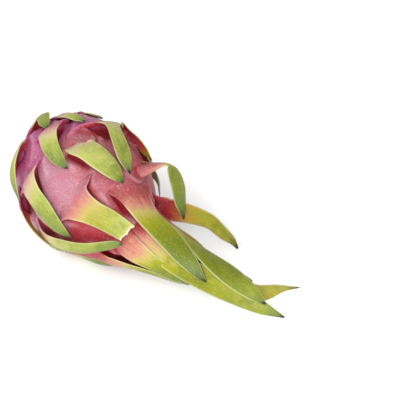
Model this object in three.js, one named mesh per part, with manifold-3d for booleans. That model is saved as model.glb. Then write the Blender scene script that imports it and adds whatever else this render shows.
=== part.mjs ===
// A whole dragon fruit lying on its belly: one fleshy body, the leaf-like scales that grow from its skin,
// the long leaves of the tuft at its far end, the cut stem stub and the withered flower inside the tuft.
// Millimetres, +Z up, +X along the fruit towards the tuft, origin on the table under the middle of the whole.
import * as THREE from "three";
import { mergeVertices } from "three/addons/utils/BufferGeometryUtils.js";
import Module from "manifold-3d";

const { degToRad, radToDeg, smoothstep, lerp } = THREE.MathUtils;

// ---- driving dimensions -------------------------------------------------------------------------

// The skin's outline from the stem dimple into the tuft: distance along the straight axis, and radius.
const SKIN_OUTLINE = [
  [3.5, 0], [0.8, 7], [1.5, 17], [9, 31], [26, 42], [50, 46], [72, 44], [92, 36], [108, 26.5],
  [122, 18.5], [145, 12], [175, 9], [210, 7], [250, 5], [290, 4],
];
const REST_HEIGHT = 44.2; // the axis above the table: the belly is flattened by the fruit's own weight
// Where the flesh ends inside the tuft, the rounding of its rim, and how far its middle stands out.
const BODY_END = { along: 164, round: 2.5, dome: 3.5 };

// The tuft leaves the fruit's axis in a gentle bend to the left and a little down.
const BEND = { start: 75, length: 70, left: 24, down: 8 }; // mm, mm, degrees, degrees

const GAP = 0.3; // mm clear between the body and what grows on it
const SCALE_GAP = 0.5; // mm clear between two scales
const THICKNESS = { root: 2.4, blade: 1.3, lip: 1.5, edge: 0.6 }; // of a scale, mm
const THINNING = { middle: [1, 2.5], edge: [1.2, 3], tip: 0.8 }; // stations over which it thins
const ROOT_SINK = 0.5; // how far the edges of a scale's root lie below the skin
const FRAME_EASE = 14; // mm over which a blade turns back to face away from the skin
const LEAVING = { at: 0.7, over: 1.1 }; // stations over which a scale leaves the skin
const FREED = [0.9, 2]; // stations over which a blade gives up the skin's curve for its own
const THINNEST = 8; // mm: the least radius of the skin that a scale wraps round
const DEEPEST_WRAP = 0.6; // of the half width: how far a root's edges follow the skin's curve down
const FULL_CURL = 0.6; // of the widest half width: where a blade's edges curl in fully
const NARROWEST = 0.35; // mm: the least half width of a scale

// The root's corners reach out and forward as horns that run into the skin: where across the scale they
// begin, and how wide they are at the crest and how much wider one station before it, as shares of the
// root's half width; how far ahead of the crest they end and how deep they lie at the start; and the
// stations over which they fade into the blade.
const HORN = { from: 0.65, width: 0.18, growth: 0.34, ahead: 2, sink: 2.5, fade: [0.9, 1.9] };

// The edges stand up in a lip where the scale leaves the skin: its rise, its station, and how far it runs
// on either side of that.
const LIP = { rise: 2.2, at: 1.1, runBefore: 0.6, runAfter: 0.42 };

const STEM = { radius: 5.6, tipRadius: 5, from: -4, to: 3.2, sides: 20 };
const FLOWER_OUTLINE = [[0, 0], [7, 0], [7.6, 6], [5.4, 16], [3.6, 28], [2.6, 38], [0, 44]]; // radius, along
const FLOWER_START = 159;

// Facets of the solids.
const OUTLINE_STEPS = 24;
const BODY_SIDES = 32;
const BODY_RINGS = 22;
const SCALE_COLUMNS = 4;
const ROWS_PER_STATION = 2;
const FRAME_STEPS = 8;
const BEND_STEPS = 70;
const FLOWER_SIDES = 14;
const SLOPE_REACH = 1.5; // mm to each side over which the outline's slope is taken
const SHORTEST_EDGE = 0.01; // mm: shorter edges are closed up

const SKIN = { color: 0xc4566e, roughness: 0.45 };
const GREEN_SCALE = { color: 0xa9b14e, roughness: 0.5 };
const TUFT_LEAF = { color: 0x9aa53c, roughness: 0.5 };
const CUT_WOOD = { color: 0x9a9650, roughness: 0.7 };
const DRIED_PETALS = { color: 0x6e4f2e, roughness: 0.9 };

// Each scale is a row of stations from its root to its tip: distance along the skin from the stem dimple,
// turn about the axis in degrees (0 is up, positive to the right seen from the stem), lift off the skin,
// half width. cup is how far the blade's edges curl in, flare how far its lip stands up beyond the usual,
// run how far that lip runs back along the root, horns how big the horns on its two sides are, ease how
// slowly its face turns back to the skin, and hold how many stations later its right edge leaves the skin.
// twist turns the blade about its own length: degrees, and the stations where that starts and ends.
const SCALES = {
  crown_scale_1: {
    cup: 1.5,
    stations: [
      [26, 27, 0, 8], [35, 26, 2.5, 8.5], [41, 18, 7, 6], [46, 13, 9, 5.5], [56, 17, 8, 4.5],
      [63, 19, 5, 0.5],
    ],
  },
  crown_scale_2: {
    cup: 2,
    stations: [
      [30, -14, 0, 9], [43, -9, 3, 9], [54, -5, 5, 6], [62, -6, 6.5, 5], [68, -9, 5.5, 4],
      [73, -10, 4.5, 1],
    ],
  },
  crown_scale_3: {
    cup: 1.5,
    stations: [
      [28, -44, 0, 8], [38, -43, 4, 9], [42, -44, 5, 5], [52, -44, 4, 4], [62, -38, 3.4, 0.6],
    ],
  },
  crown_scale_4: {
    cup: 2,
    stations: [
      [22, 128, 0, 8], [33, 128, 2.5, 9], [41, 128, 4.5, 6.5], [49, 129, 4.5, 5], [57, 130, 3.5, 0.7],
    ],
  },
  crown_scale_5: {
    cup: 1,
    stations: [
      [20, 160, 0, 8], [32, 160, 2.5, 9], [40, 158, 5, 6], [48, 156, 5, 4.5], [56, 154, 4, 0.7],
    ],
  },
  crown_scale_6: {
    cup: 1.5,
    stations: [
      [26, -150, 0, 9], [38, -148, 3, 10], [47, -146, 6, 7], [57, -143, 6, 5], [68, -140, 5, 0.7],
    ],
  },
  crown_scale_7: {
    cup: 2,
    stations: [
      [24, -104, 0, 9], [38, -104, 3, 11], [47, -102, 8, 7], [58, -100, 10, 5.5], [70, -98, 7, 0.7],
    ],
  },
  shoulder_scale_1: {
    cup: 2, flare: 0.5,
    stations: [
      [46, 20, 0, 12], [60, 17, 3, 13], [66, 18, 8, 11], [73, 23, 11, 8], [84, 28, 10, 6.5],
      [95, 30, 7, 4.5], [103, 30, 4, 0.8],
    ],
  },
  shoulder_scale_2: {
    cup: 2, flare: 1,
    stations: [
      [56, 58, 0, 13], [75, 60, 3, 15], [82, 61, 7, 10], [93, 65, 8, 8], [105, 70, 8, 7.5],
      [117, 79, 7, 5], [125, 86, 5, 0.8],
    ],
  },
  shoulder_scale_3: {
    cup: 1.5, flare: 0.5, horns: [1, 2],
    stations: [
      [56, -24, 0, 14], [74, -26, 3, 15], [83, -24, 9, 10], [92, -20, 13, 5.5], [104, -17, 13, 6],
      [117, -16, 10, 5.5], [128, -15, 7, 0.7],
    ],
  },
  shoulder_scale_4: {
    cup: 1.5,
    stations: [
      [36, 62, 0, 13], [50, 57, 3, 14], [58, 54, 8, 8.5], [66, 60, 11, 5], [74, 69.5, 10, 4],
      [81, 80, 7, 0.8],
    ],
  },
  shoulder_scale_5: {
    cup: 1, flare: -1, horns: [1, 0.4],
    stations: [
      [58, 140, 0, 12], [68, 140, 3, 12], [76, 140, 4, 8], [84, 141, 3.5, 6], [92, 142, 3.5, 4.5],
      [100, 143, 3, 0.7],
    ],
  },
  shoulder_scale_6: {
    cup: 1.5,
    stations: [
      [52, -138, 0, 12], [66, -137, 3, 14], [76, -135, 6, 8], [88, -132, 7, 6.5], [102, -129, 7, 5],
      [114, -126, 5, 0.7],
    ],
  },
  shoulder_scale_7: {
    cup: 1.5,
    stations: [
      [52, -98, 0, 13], [68, -96, 3, 14], [78, -94, 6, 9], [92, -92, 6.5, 6], [108, -90, 6, 4.2],
      [126, -90, 5, 0.7],
    ],
  },
  belly_scale_1: {
    cup: 1.5, flare: 0.5, horns: [0.2, 1],
    stations: [
      [76, 11, 0, 11], [89, 8, 3, 12], [95, 10, 6, 9.8], [102.2, 7, 8, 9.2], [112.3, 2.9, 8, 9],
      [123.5, -0.4, 8, 6.2], [131.5, -5, 4, 0.6],
    ],
  },
  belly_scale_2: {
    cup: 1, flare: 1,
    stations: [
      [98, 48, 0, 15], [114, 48, 2.5, 19], [122, 48, 4, 12.5], [131, 46, 6, 9], [143, 43, 8, 8],
      [156, 44, 9, 7],
    ],
  },
  belly_scale_3: {
    cup: 1.5, ease: 80, hold: 1.2, run: 1, horns: [1, 0.3], twist: [24.5, 3.5, 5.4],
    stations: [
      [104, -28, 0, 11], [115.4, -34.8, 1.8, 9.6], [121.6, -42, 8, 8.4], [125, -51, 20, 2.4],
      [131, -54.6, 23.7, 6.7], [144, -61.5, 24, 6.7], [158.7, -77, 21.4, 6.3], [169, -86.3, 17, 0.6],
    ],
  },
  belly_scale_4: {
    cup: 2,
    stations: [
      [80, 107, 0, 13], [94, 105, 3.5, 12], [106, 104, 6.5, 7], [122, 97, 8, 6], [137, 84, 10, 5],
      [149, 69, 10, 3.5], [156, 61, 9, 0.8],
    ],
  },
  belly_scale_5: {
    cup: 2, twist: [33, 1.3, 2.4],
    stations: [
      [62, 96, 0, 12], [72.4, 92.5, 3, 14], [81.6, 89.3, 5.2, 7.9], [90.4, 92.7, 7.3, 4.9],
      [102, 101.3, 7.5, 4.2], [112, 112.4, 6, 4], [119, 112.6, 4.6, 0.7],
    ],
  },
  belly_scale_6: {
    cup: 2, twist: [-32, 1.2, 2.5],
    stations: [
      [58, -50, 0, 11], [71, -50.2, 3.5, 12.2], [77, -53, 4.5, 10], [87.5, -49.5, 4.8, 8.3],
      [97.3, -48.5, 7.5, 6.2], [102, -55.5, 6, 5.2], [106.5, -62.5, 5.8, 0.6],
    ],
  },
  belly_scale_7: {
    cup: 1.5,
    stations: [
      [80, -66, 0, 12], [92, -66, 3, 12], [99, -66, 4.5, 8], [104, -65, 5, 5], [110, -63, 4.5, 0.8],
    ],
  },
  belly_scale_8: {
    cup: 1.5, flare: -1.7, horns: [1, 0.2], twist: [-30, 1.5, 3],
    stations: [
      [84, 153, 0, 10], [98, 152, 2.5, 10], [108, 154, 3.8, 7], [120, 156, 5, 5], [134, 153, 5, 3.8],
      [144, 148, 4, 0.7],
    ],
  },
  belly_scale_9: {
    cup: 1.5,
    stations: [
      [104, -166, 0, 11], [114, -165, 2, 12], [122, -163, 4, 8], [134, -160, 6, 6.5],
      [146, -157, 8, 5], [158, -154, 6, 0.7],
    ],
  },
  belly_scale_10: {
    cup: 1.5,
    stations: [
      [88, -128, 0, 13], [102, -126, 3, 15], [112, -124, 7, 9], [126, -119, 10, 7],
      [142, -115, 11, 5.5], [156, -111, 9, 0.7],
    ],
  },
  tuft_leaf_1: {
    cup: 1.5, flare: 1, horns: [0.5, 0.5],
    stations: [
      [117, -12, 0, 15], [132, -13, 3, 16], [148, -5, 7, 11.5], [166.5, 7, 10.5, 9.5],
      [185, 18, 12, 8.5], [199, 31, 12, 7], [209.5, 43, 10.5, 4.5], [220, 60, 8, 0.6],
    ],
  },
  tuft_leaf_2: {
    cup: 1.5,
    stations: [
      [132, 46, 0, 13], [156, 38, 3, 13], [172, 45, 4, 9], [187, 54, 4, 8], [203, 58, 5, 8.6],
      [220, 59, 6, 8.4], [240, 56, 7, 7.6], [260, 53, 7, 5.2], [278, 46, 6, 0.6],
    ],
  },
  tuft_leaf_3: {
    cup: 1.5,
    stations: [
      [128, 74, 0, 10], [150, 63, 3.5, 9.7], [165, 71, 5.5, 8.7], [176, 80, 6, 7], [187, 90, 6, 6],
      [198, 95, 6, 4], [208, 101, 4, 0.6],
    ],
  },
  tuft_leaf_4: {
    cup: 1.5, horns: [1, 0.4],
    stations: [
      [122, 122, 0, 12], [137, 120, 3, 11], [148, 123, 5.5, 8], [163, 126, 6.5, 6.5], [179, 130, 7, 6],
      [194, 131, 6.5, 4], [206, 133, 4, 0.6],
    ],
  },
  tuft_leaf_5: {
    cup: 1.5, ease: 80, twist: [-35, 0.5, 3],
    stations: [
      [118, -84, 0, 12], [135, -84, 2, 12], [142, -88, 9, 10.5], [152, -92, 21, 9],
      [167, -95.5, 32, 7.5], [181, -99, 39, 6.2], [197, -104.5, 41, 4.6], [206, -115, 50, 0.8],
    ],
  },
  tuft_leaf_6: {
    cup: 1.5,
    stations: [
      [140, -50, 0, 11], [153, -50, 3, 12], [169, -53, 5, 11], [190, -33, 5.5, 9], [212.5, -2, 7, 8.5],
      [234, 15.5, 8.5, 8], [251, 28, 10, 5.5], [263.5, 38, 11, 0.6],
    ],
  },
  tuft_leaf_7: {
    cup: 1, horns: [0.6, 0.6], twist: [10, 4, 7],
    stations: [
      [148, -112, 0, 10], [160, -108, 3, 11], [176, -102, 6, 9], [192, -99, 6, 8], [210, -104, 3, 7.5],
      [230, -118, 2, 7], [246.5, -120.7, 2, 7.2], [263.4, -60, 10, 3.8], [275.5, -41.6, 16, 0.5],
    ],
  },
  tuft_leaf_8: {
    cup: 1.5, horns: [0.4, 0.4],
    stations: [
      [124, 168, 0, 12], [140, 166, 3, 12], [156, 164, 6, 8.5], [174, 164, 7, 7.5], [192, 166, 7, 6],
      [210, 168, 5, 0.7],
    ],
  },
  tuft_leaf_9: {
    cup: 1.5, horns: [0.4, 0.4],
    stations: [
      [130, -152, 0, 12], [146, -148, 3, 12], [162, -144, 6, 8.5], [182, -140, 8, 8],
      [204, -136, 9, 6.5], [226, -132, 8, 0.7],
    ],
  },
  tuft_leaf_10: {
    cup: 1.5, horns: [0.4, 0.4],
    stations: [
      [148, -80, 0, 8], [161, -76, 2, 8.5], [178, -71, 3, 6.5], [198, -60, 2.5, 6], [217, -42, 3, 5],
      [236, -26, 4.5, 3.5], [246, -18, 5, 0.6],
    ],
  },
};

// ---- the skin -----------------------------------------------------------------------------------

// A Catmull-Rom curve through rows of numbers, at a parameter that counts rows.
function through(rows, t) {
  const i = Math.min(Math.floor(t), rows.length - 2);
  const f = t - i;
  return rows[i].map((p1, column) => {
    const p2 = rows[i + 1][column];
    const p0 = i > 0 ? rows[i - 1][column] : 2 * p1 - p2;
    const p3 = i + 2 < rows.length ? rows[i + 2][column] : 2 * p2 - p1;
    const square = 2 * p0 - 5 * p1 + 4 * p2 - p3;
    const cube = 3 * p1 - p0 - 3 * p2 + p3;
    return p1 + 0.5 * ((p2 - p0) * f + square * f ** 2 + cube * f ** 3);
  });
}

const outline = [];
for (let k = 0; k <= (SKIN_OUTLINE.length - 1) * OUTLINE_STEPS; k++) {
  const point = new THREE.Vector2(...through(SKIN_OUTLINE, k / OUTLINE_STEPS));
  const before = outline.at(-1);
  outline.push({ point, along: before ? before.along + point.distanceTo(before.point) : 0 });
}

// The outline's point (axial distance, radius) at a distance along the skin.
function outlineAt(along) {
  const next = Math.max(1, outline.findIndex((entry) => entry.along >= along));
  const [a, b] = [outline[next - 1], outline[next]];
  return a.point.clone().lerp(b.point, (along - a.along) / (b.along - a.along));
}

// The same point moved off the skin by lift, square to it.
function liftedOutline(along, lift) {
  const slope = outlineAt(along + SLOPE_REACH);
  slope.sub(outlineAt(Math.max(along - SLOPE_REACH, 0))).normalize();
  const point = outlineAt(along);
  return new THREE.Vector2(point.x - slope.y * lift, Math.max(point.y + slope.x * lift, 0));
}

const bendTotal = degToRad(Math.hypot(BEND.left, BEND.down));
const bendSide = new THREE.Vector3(0, BEND.left, -BEND.down).normalize();
const bendAcross = new THREE.Vector3(1, 0, 0).cross(bendSide);

function bendAngle(x) {
  return bendTotal * smoothstep(x, BEND.start, BEND.start + BEND.length);
}

const bendStep = BEND.length / BEND_STEPS;
const bentAxis = [new THREE.Vector2(BEND.start, 0)];
for (let k = 0; k < BEND_STEPS; k++) {
  const angle = bendAngle(BEND.start + (k + 0.5) * bendStep);
  const step = new THREE.Vector2(Math.cos(angle), Math.sin(angle)).multiplyScalar(bendStep);
  bentAxis.push(bentAxis.at(-1).clone().add(step));
}

// Carries a point of the straight fruit onto the bent one.
function bend(point) {
  const past = point.x - BEND.start;
  if (past <= 0) return point;
  const angle = bendAngle(point.x);
  const heading = new THREE.Vector2(Math.cos(angle), Math.sin(angle));
  const whole = Math.min(Math.floor(past / bendStep), BEND_STEPS - 1);
  const centre = bentAxis[whole].clone();
  centre.lerp(bentAxis[whole + 1], Math.min(past / bendStep - whole, 1));
  centre.addScaledVector(heading, Math.max(past - BEND.length, 0));
  const aside = point.dot(bendSide);
  const across = point.dot(bendAcross);
  return new THREE.Vector3(centre.x - aside * heading.y, 0, 0)
    .addScaledVector(bendSide, centre.y + aside * heading.x)
    .addScaledVector(bendAcross, across);
}

// The point at a distance along the skin, a turn about the axis in degrees and a lift off the skin.
function onSkin(along, turn, lift) {
  const { x, y: radius } = liftedOutline(along, lift);
  const angle = degToRad(turn);
  return bend(new THREE.Vector3(x, -radius * Math.sin(angle), radius * Math.cos(angle)));
}

// ---- solids -------------------------------------------------------------------------------------

const wasm = await Module();
wasm.setup();

function solidOf(geometry) {
  geometry.deleteAttribute("normal");
  geometry.deleteAttribute("uv");
  const merged = mergeVertices(geometry, 1e-4);
  const mesh = {
    numProp: 3,
    vertProperties: merged.attributes.position.array,
    triVerts: new Uint32Array(merged.index.array),
  };
  return new wasm.Manifold(new wasm.Mesh(mesh));
}

// A cut can leave crumbs and hair-thin bridges to them: the piece is the largest body without them.
function largestBody(solid) {
  return solid.simplify(SHORTEST_EDGE).decompose().sort((a, b) => b.volume() - a.volume())[0];
}

function geometryOf(solid) {
  const { vertProperties, triVerts, numProp } = solid.getMesh();
  const corners = new THREE.InterleavedBuffer(vertProperties, numProp);
  const geometry = new THREE.BufferGeometry();
  geometry.setAttribute("position", new THREE.InterleavedBufferAttribute(corners, 3, 0));
  geometry.setIndex(new THREE.BufferAttribute(triVerts, 1));
  return geometry.toNonIndexed();
}

// Moves each corner of a geometry to where place puts it.
function reshape(geometry, place) {
  const corners = geometry.attributes.position;
  const corner = new THREE.Vector3();
  for (let i = 0; i < corners.count; i++) {
    corner.fromBufferAttribute(corners, i);
    corners.setXYZ(i, ...place(corner));
  }
  return geometry;
}

// A profile of (radius, along the straight axis) turned about the axis, bent, and flattened by the table.
function turned(profile, sides) {
  const lathe = new THREE.LatheGeometry(profile, sides);
  return reshape(lathe, ({ x, y, z }) => {
    const placed = bend(new THREE.Vector3(y, -x, z));
    placed.z = Math.max(placed.z, -REST_HEIGHT);
    return placed;
  });
}

function bodySolid(clearance) {
  const profile = [];
  for (let ring = 0; ring <= BODY_RINGS; ring++) {
    const { x, y } = liftedOutline((BODY_END.along * ring) / BODY_RINGS, clearance);
    profile.push(new THREE.Vector2(ring ? y : 0, x));
  }
  const rim = profile.at(-1);
  profile.push(new THREE.Vector2(rim.x - BODY_END.round, rim.y + BODY_END.round));
  profile.push(new THREE.Vector2(0, rim.y + BODY_END.dome));
  return solidOf(turned(profile, BODY_SIDES));
}

function stemSolid() {
  const { radius, tipRadius, from, to, sides } = STEM;
  const stub = new THREE.CylinderGeometry(radius, tipRadius, to - from, sides);
  stub.rotateZ(-Math.PI / 2).translate((from + to) / 2, 0, 0);
  return solidOf(stub);
}

function flowerSolid() {
  const profile = FLOWER_OUTLINE.map(([radius, along]) => new THREE.Vector2(radius, FLOWER_START + along));
  return solidOf(turned(profile, FLOWER_SIDES));
}

// The middle line of a scale with, at each step, its station and the way its blade points and faces.
function scaleFrames({ stations, ease = FRAME_EASE, twist: [degrees, twistStart, twistEnd] = [0, 0, 1] }) {
  const steps = (stations.length - 1) * FRAME_STEPS;
  const frames = [];
  for (let k = 0; k <= steps; k++) {
    const [along, turn, lift, half] = through(stations, k / FRAME_STEPS);
    const centre = onSkin(along, turn, lift);
    const outward = onSkin(along, turn, lift + 1).sub(centre).normalize();
    frames.push({ along, turn, lift, half: Math.max(half, NARROWEST), centre, outward });
  }
  let face = frames[0].outward;
  let before = frames[0].centre;
  frames.forEach((frame, k) => {
    const ahead = frames[Math.min(k + 1, steps)].centre;
    frame.pointing = ahead.clone().sub(frames[Math.max(k - 1, 0)].centre).normalize();
    const square = (v) => v.clone().projectOnPlane(frame.pointing);
    const share = 1 - Math.exp(-frame.centre.distanceTo(before) / ease);
    face = square(square(face).normalize().lerp(square(frame.outward), share)).normalize();
    const twisted = degToRad(degrees) * smoothstep(k / FRAME_STEPS, twistStart, twistEnd);
    frame.facing = face.clone().applyAxisAngle(frame.pointing, twisted);
    frame.across = frame.pointing.clone().cross(frame.facing);
    before = frame.centre;
  });
  return frames;
}

// One scale: a tapering sheet that lies on the skin at its root and curls away from it as a blade.
// clearance makes it that much bigger all round.
function scaleSolid(scale, clearance = 0) {
  const frames = scaleFrames(scale);
  const widest = Math.max(...scale.stations.map((station) => station[3]));
  const [crestAlong, , , crestHalf] = scale.stations[1];
  const { flare = 0, hold = 0, run = LIP.runBefore, horns = [1, 1] } = scale;
  const spans = scale.stations.length - 1;
  const sheet = new THREE.BoxGeometry(2, 1, 1, SCALE_COLUMNS, spans * ROWS_PER_STATION, 1);
  sheet.translate(0, 0.5, 0.5);
  const solid = reshape(sheet, ({ x: side, y: length, z: layer }) => {
    const t = length * spans;
    const k = Math.round(t * FRAME_STEPS);
    const { along, turn, lift, half, centre, pointing, facing, across } = frames[k];
    const beforeCrest = Math.max(1 - t, 0);
    const hornSize = horns[side < 0 ? 0 : 1];
    const horn = smoothstep(Math.abs(side), HORN.from, 1) * (1 - smoothstep(t, ...HORN.fade));
    const hornReach = horn * hornSize * crestHalf * (HORN.width + HORN.growth * beforeCrest);
    const reach = (half + clearance) * side + Math.sign(side) * hornReach;
    const lipRun = t < LIP.at ? run : LIP.runAfter;
    const lip = (flare + LIP.rise) * side ** 6 * Math.exp(-(((t - LIP.at) / lipRun) ** 2));
    // on the skin
    const hornShare = Math.min(hornSize, 1);
    const forward = along + horn * hornShare * Math.max(crestAlong + HORN.ahead - along, 0);
    const radius = Math.max(outlineAt(forward).y, THINNEST);
    const next = frames[Math.min(k + 1, frames.length - 1)];
    const previous = frames[Math.max(k - 1, 0)];
    const turning = degToRad(next.turn - previous.turn) * radius;
    const heading = new THREE.Vector2(next.along - previous.along, turning).normalize();
    const sink = ROOT_SINK + HORN.sink * beforeCrest * hornShare;
    const swell = (lift + sink) * (1 - side ** 2) ** 2 - sink + lip;
    const rootAlong = Math.max(forward - reach * heading.y, 0);
    const rootTurn = turn + radToDeg((reach * heading.x) / radius);
    const root = onSkin(rootAlong, rootTurn, swell);
    // off the skin
    const free = smoothstep(t, ...FREED);
    const wrap = Math.min(half ** 2 / (2 * radius), DEEPEST_WRAP * half);
    const curl = scale.cup * Math.min(half / (FULL_CURL * widest), 1);
    const rise = lip - lerp(wrap, curl, free) * side ** 2;
    const blade = centre.clone().addScaledVector(across, reach).addScaledVector(facing, rise);
    blade.addScaledVector(pointing, (2 * length - 1) * clearance);
    const leaves = LEAVING.at + (hold * (1 + side)) / 2;
    const surface = root.lerp(blade, smoothstep(t, leaves, leaves + LEAVING.over));
    // its thickness
    const middle = lerp(THICKNESS.root, THICKNESS.blade, smoothstep(t, ...THINNING.middle));
    const edge = lerp(THICKNESS.lip, THICKNESS.edge, smoothstep(t, ...THINNING.edge));
    const outward = Math.max(side ** 4, smoothstep(t, spans - THINNING.tip, spans));
    const thickness = lerp(middle, edge, outward);
    const depth = (1 - layer) * thickness + (1 - 2 * layer) * clearance;
    return surface.addScaledVector(facing, -depth);
  });
  return solidOf(solid);
}

// ---- the fruit ----------------------------------------------------------------------------------

const fruit = new THREE.Group();

function addMesh(name, solid, finish) {
  const mesh = new THREE.Mesh(geometryOf(solid), new THREE.MeshStandardMaterial(finish));
  mesh.name = name;
  fruit.add(mesh);
}

addMesh("fruit_body", bodySolid(0), SKIN);
const aroundBody = bodySolid(GAP);
addMesh("stem_stub", largestBody(stemSolid().subtract(aroundBody)), CUT_WOOD);

// Each scale gives way to the body and to the scales before it.
let taken = aroundBody;
for (const [name, scale] of Object.entries(SCALES)) {
  const finish = name.startsWith("tuft") ? TUFT_LEAF : GREEN_SCALE;
  addMesh(name, largestBody(scaleSolid(scale).subtract(taken)), finish);
  taken = taken.add(scaleSolid(scale, SCALE_GAP));
}
addMesh("dried_flower", largestBody(flowerSolid().subtract(taken)), DRIED_PETALS);

const extent = new THREE.Box3().setFromObject(fruit);
const middle = extent.getCenter(new THREE.Vector3());
fruit.position.set(-middle.x, -middle.y, REST_HEIGHT);

const part = new THREE.Group();
part.name = "dragon_fruit";
part.add(fruit);

export default part;
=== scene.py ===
# %% [markdown]
# # A dragon fruit lying on its belly
#
# A dragon fruit is one fleshy body. Leaf-like scales grow out of its skin in rising spirals, short round
# the stem and longer towards the far end, where they stand together as a tuft round the withered flower.
# The CAD model fixes where each of these pieces is. This script gives them their real form and finish.

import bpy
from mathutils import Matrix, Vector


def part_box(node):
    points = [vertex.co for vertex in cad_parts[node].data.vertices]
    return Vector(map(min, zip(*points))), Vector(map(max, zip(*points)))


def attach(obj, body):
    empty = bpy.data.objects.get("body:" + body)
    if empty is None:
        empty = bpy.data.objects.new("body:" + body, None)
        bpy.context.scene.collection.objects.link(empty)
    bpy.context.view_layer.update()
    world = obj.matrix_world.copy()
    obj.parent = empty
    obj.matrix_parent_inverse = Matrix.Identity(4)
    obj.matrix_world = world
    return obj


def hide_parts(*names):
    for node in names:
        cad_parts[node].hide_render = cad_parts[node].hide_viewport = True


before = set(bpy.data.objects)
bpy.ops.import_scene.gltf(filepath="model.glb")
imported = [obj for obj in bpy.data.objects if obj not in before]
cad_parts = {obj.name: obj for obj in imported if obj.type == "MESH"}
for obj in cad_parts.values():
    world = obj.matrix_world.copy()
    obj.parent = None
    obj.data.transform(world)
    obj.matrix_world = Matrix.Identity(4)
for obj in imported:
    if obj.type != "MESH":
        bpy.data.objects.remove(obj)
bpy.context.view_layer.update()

# %% [markdown]
# ## The skin as a map
#
# Everything here grows from the skin, so places are given on it, as on a map: how far along the skin
# from the stem dimple, how far round, and how high above it, in millimetres and degrees. The skin is a
# lathe shape about an axis that runs straight and then bends aside into the tuft. The CAD uses the same
# map.

# %% The outline
import math

import bpy
import numpy as np
from mathutils import Matrix, Vector

SKIN_OUTLINE = [
    (3.5, 0), (0.8, 7), (1.5, 17), (9, 31), (26, 42), (50, 46), (72, 44), (92, 36), (108, 26.5),
    (122, 18.5), (145, 12), (175, 9), (210, 7), (250, 5), (290, 4),
]  # distance along the straight axis, radius
OUTLINE_STEPS = 24
SLOPE_REACH = 1.5  # mm to each side over which the outline's slope is taken


def smooth(low, high, value):
    share = np.clip((value - low) / (high - low), 0, 1)
    return share * share * (3 - 2 * share)


def hump(value, middle, width):
    """1 at the middle, falling away to 0 on both sides."""
    return np.exp(-(((value - middle) / width) ** 2))


def unit(vectors):
    return vectors / np.maximum(np.linalg.norm(vectors, axis=-1, keepdims=True), 1e-9)


def through(rows, t):
    """A smooth curve through rows of numbers, at parameters that count rows."""
    rows = np.array(rows, float)
    padded = np.vstack([2 * rows[0] - rows[1], rows, 2 * rows[-1] - rows[-2]])
    i = np.clip(np.floor(t).astype(int), 0, len(rows) - 2)
    f = (t - i)[:, None]
    p0, p1, p2, p3 = (padded[i + n] for n in range(4))
    square = 2 * p0 - 5 * p1 + 4 * p2 - p3
    cube = 3 * p1 - p0 - 3 * p2 + p3
    return p1 + 0.5 * ((p2 - p0) * f + square * f**2 + cube * f**3)


spans = len(SKIN_OUTLINE) - 1
outline = through(SKIN_OUTLINE, np.linspace(0, spans, spans * OUTLINE_STEPS + 1))
outline_along = np.concatenate([[0], np.cumsum(np.linalg.norm(np.diff(outline, axis=0), axis=1))])


def outline_at(along):
    return np.stack([np.interp(along, outline_along, outline[:, n]) for n in range(2)], -1)


def lifted_outline(along, lift):
    """The outline's point moved off the skin by lift, square to it."""
    behind = np.maximum(along - SLOPE_REACH, 0)
    slope = unit(outline_at(along + SLOPE_REACH) - outline_at(behind))
    point = outline_at(along)
    return point[..., 0] - slope[..., 1] * lift, np.maximum(point[..., 1] + slope[..., 0] * lift, 0)


print("the outline is", round(outline_along[-1]), "mm long")

# %% The bend
BEND_START, BEND_LENGTH = 75, 70  # mm along the straight axis
BEND_LEFT, BEND_DOWN = 24, 8  # degrees
BEND_STEPS = 70

bend_total = math.radians(math.hypot(BEND_LEFT, BEND_DOWN))
bend_side = unit(np.array([0, BEND_LEFT, -BEND_DOWN], float))
bend_across = np.cross([1, 0, 0], bend_side)
bend_middles = BEND_START + (np.arange(BEND_STEPS) + 0.5) * BEND_LENGTH / BEND_STEPS


def bend_angle(x):
    return bend_total * smooth(BEND_START, BEND_START + BEND_LENGTH, x)


bend_angles = bend_angle(bend_middles)
bend_steps = np.stack([np.cos(bend_angles), np.sin(bend_angles)]) * BEND_LENGTH / BEND_STEPS
bent_axis = np.concatenate([[[0], [0]], np.cumsum(bend_steps, axis=1)], axis=1)


def axis_at(x):
    """The bent axis where the straight one had x: how far forward and how far aside, and its angle."""
    angle = bend_angle(x)
    step = np.clip(x - BEND_START, 0, BEND_LENGTH) * BEND_STEPS / BEND_LENGTH
    past = np.maximum(x - BEND_START - BEND_LENGTH, 0)
    forward = np.interp(step, range(BEND_STEPS + 1), bent_axis[0]) + past * np.cos(angle)
    aside = np.interp(step, range(BEND_STEPS + 1), bent_axis[1]) + past * np.sin(angle)
    return np.minimum(x, BEND_START) + forward, aside, angle


print("bent by", round(math.degrees(bend_total)), "degrees")

# %% From the map to the table
REST_HEIGHT = 44.2  # mm: the axis above the table
STEM_FROM = -4  # mm along the fruit's own axis: the stem stub's end, by which the fruit is placed


def on_skin(along, turn, lift):
    """The point at a distance along the skin, a turn about the axis in degrees and a lift off it."""
    x, radius = lifted_outline(along, lift)
    y, z = -radius * np.sin(np.radians(turn)), radius * np.cos(np.radians(turn))
    forward, aside, angle = axis_at(x)
    side = y * bend_side[1] + z * bend_side[2]
    across = y * bend_across[1] + z * bend_across[2]
    along_axis = forward - side * np.sin(angle)
    sideways = aside + side * np.cos(angle)
    rest = sideways[..., None] * bend_side + across[..., None] * bend_across
    return np.stack([along_axis, rest[..., 1], rest[..., 2]], -1)


stem_low, stem_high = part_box("stem_stub")
SHIFT = np.array([1000 * stem_low.x - STEM_FROM, 500 * (stem_low.y + stem_high.y), REST_HEIGHT])


def placed(points):
    """Fruit millimetres to metres on the table, nothing below the table's top."""
    points = (np.asarray(points, float) + SHIFT) / 1000
    points[..., 2] = np.maximum(points[..., 2], 0)
    return points


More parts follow.
